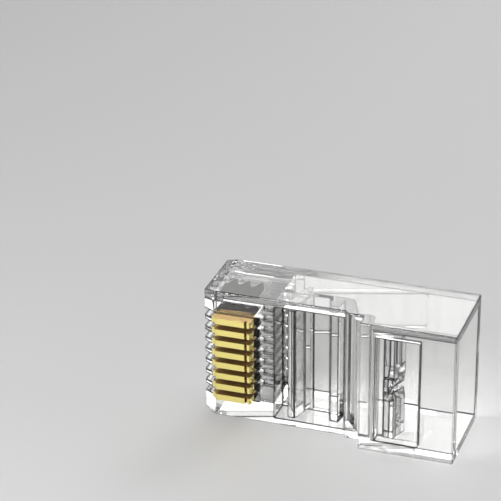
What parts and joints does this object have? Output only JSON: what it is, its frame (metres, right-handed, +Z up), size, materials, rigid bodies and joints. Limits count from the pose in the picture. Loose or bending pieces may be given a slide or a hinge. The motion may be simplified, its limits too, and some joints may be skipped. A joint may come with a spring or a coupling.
{
  "type": "rj45 modular plug",
  "caption": "Clear moulded network cable plug with a sprung latch, gold contact blades in a comb, and clamp bars that fold onto the cable",
  "frame": {"origin": "middle of the narrow side that the plug rests on, at half its length and half its rear height", "axes": "+X from the mating nose to the cable end, +Y towards the latch, +Z up across the plug's width"},
  "size_m": [0.0238, 0.015, 0.0117],
  "materials": {
    "clear_plastic": "clear polished polycarbonate",
    "gold_contact": "gold plated"
  },
  "bodies": {
    "housing": {"housing": "clear_plastic"},
    "latch": {"latch": "clear_plastic"},
    "cable_clamp_bar": {"cable_clamp_bar": "clear_plastic"},
    "conductor_clamp_bar": {"conductor_clamp_bar": "clear_plastic"},
    "contact_1": {"contact_1": "gold_contact"},
    "contact_2": {"contact_2": "gold_contact"},
    "contact_3": {"contact_3": "gold_contact"},
    "contact_4": {"contact_4": "gold_contact"},
    "contact_5": {"contact_5": "gold_contact"},
    "contact_6": {"contact_6": "gold_contact"},
    "contact_7": {"contact_7": "gold_contact"},
    "contact_8": {"contact_8": "gold_contact"}
  },
  "joints": [
    {"name": "latch_press", "type": "hinge", "parent": "housing", "child": "latch", "pos_m": [-0.01132, 0.00536, 0.00584], "axis": [0, 0, -1], "range_deg": [0, 14], "stiffness_Nm_per_rad": 0.05},
    {"name": "cable_clamp_fold", "type": "hinge", "parent": "housing", "child": "cable_clamp_bar", "pos_m": [0.00453, -0.00338, 0.00584], "axis": [0, 0, 1], "range_deg": [0, 35]},
    {"name": "conductor_clamp_fold", "type": "hinge", "parent": "housing", "child": "conductor_clamp_bar", "pos_m": [-0.00378, 0.00011, 0.00584], "axis": [0, 0, 1], "range_deg": [0, 35]},
    {"name": "contact_1_crimp", "type": "slide", "parent": "housing", "child": "contact_1", "axis": [0, 1, 0], "range_m": [0, 0.00125]},
    {"name": "contact_2_crimp", "type": "slide", "parent": "housing", "child": "contact_2", "axis": [0, 1, 0], "range_m": [0, 0.00125]},
    {"name": "contact_3_crimp", "type": "slide", "parent": "housing", "child": "contact_3", "axis": [0, 1, 0], "range_m": [0, 0.00125]},
    {"name": "contact_4_crimp", "type": "slide", "parent": "housing", "child": "contact_4", "axis": [0, 1, 0], "range_m": [0, 0.00125]},
    {"name": "contact_5_crimp", "type": "slide", "parent": "housing", "child": "contact_5", "axis": [0, 1, 0], "range_m": [0, 0.00125]},
    {"name": "contact_6_crimp", "type": "slide", "parent": "housing", "child": "contact_6", "axis": [0, 1, 0], "range_m": [0, 0.00125]},
    {"name": "contact_7_crimp", "type": "slide", "parent": "housing", "child": "contact_7", "axis": [0, 1, 0], "range_m": [0, 0.00125]},
    {"name": "contact_8_crimp", "type": "slide", "parent": "housing", "child": "contact_8", "axis": [0, 1, 0], "range_m": [0, 0.00125]}
  ]
}
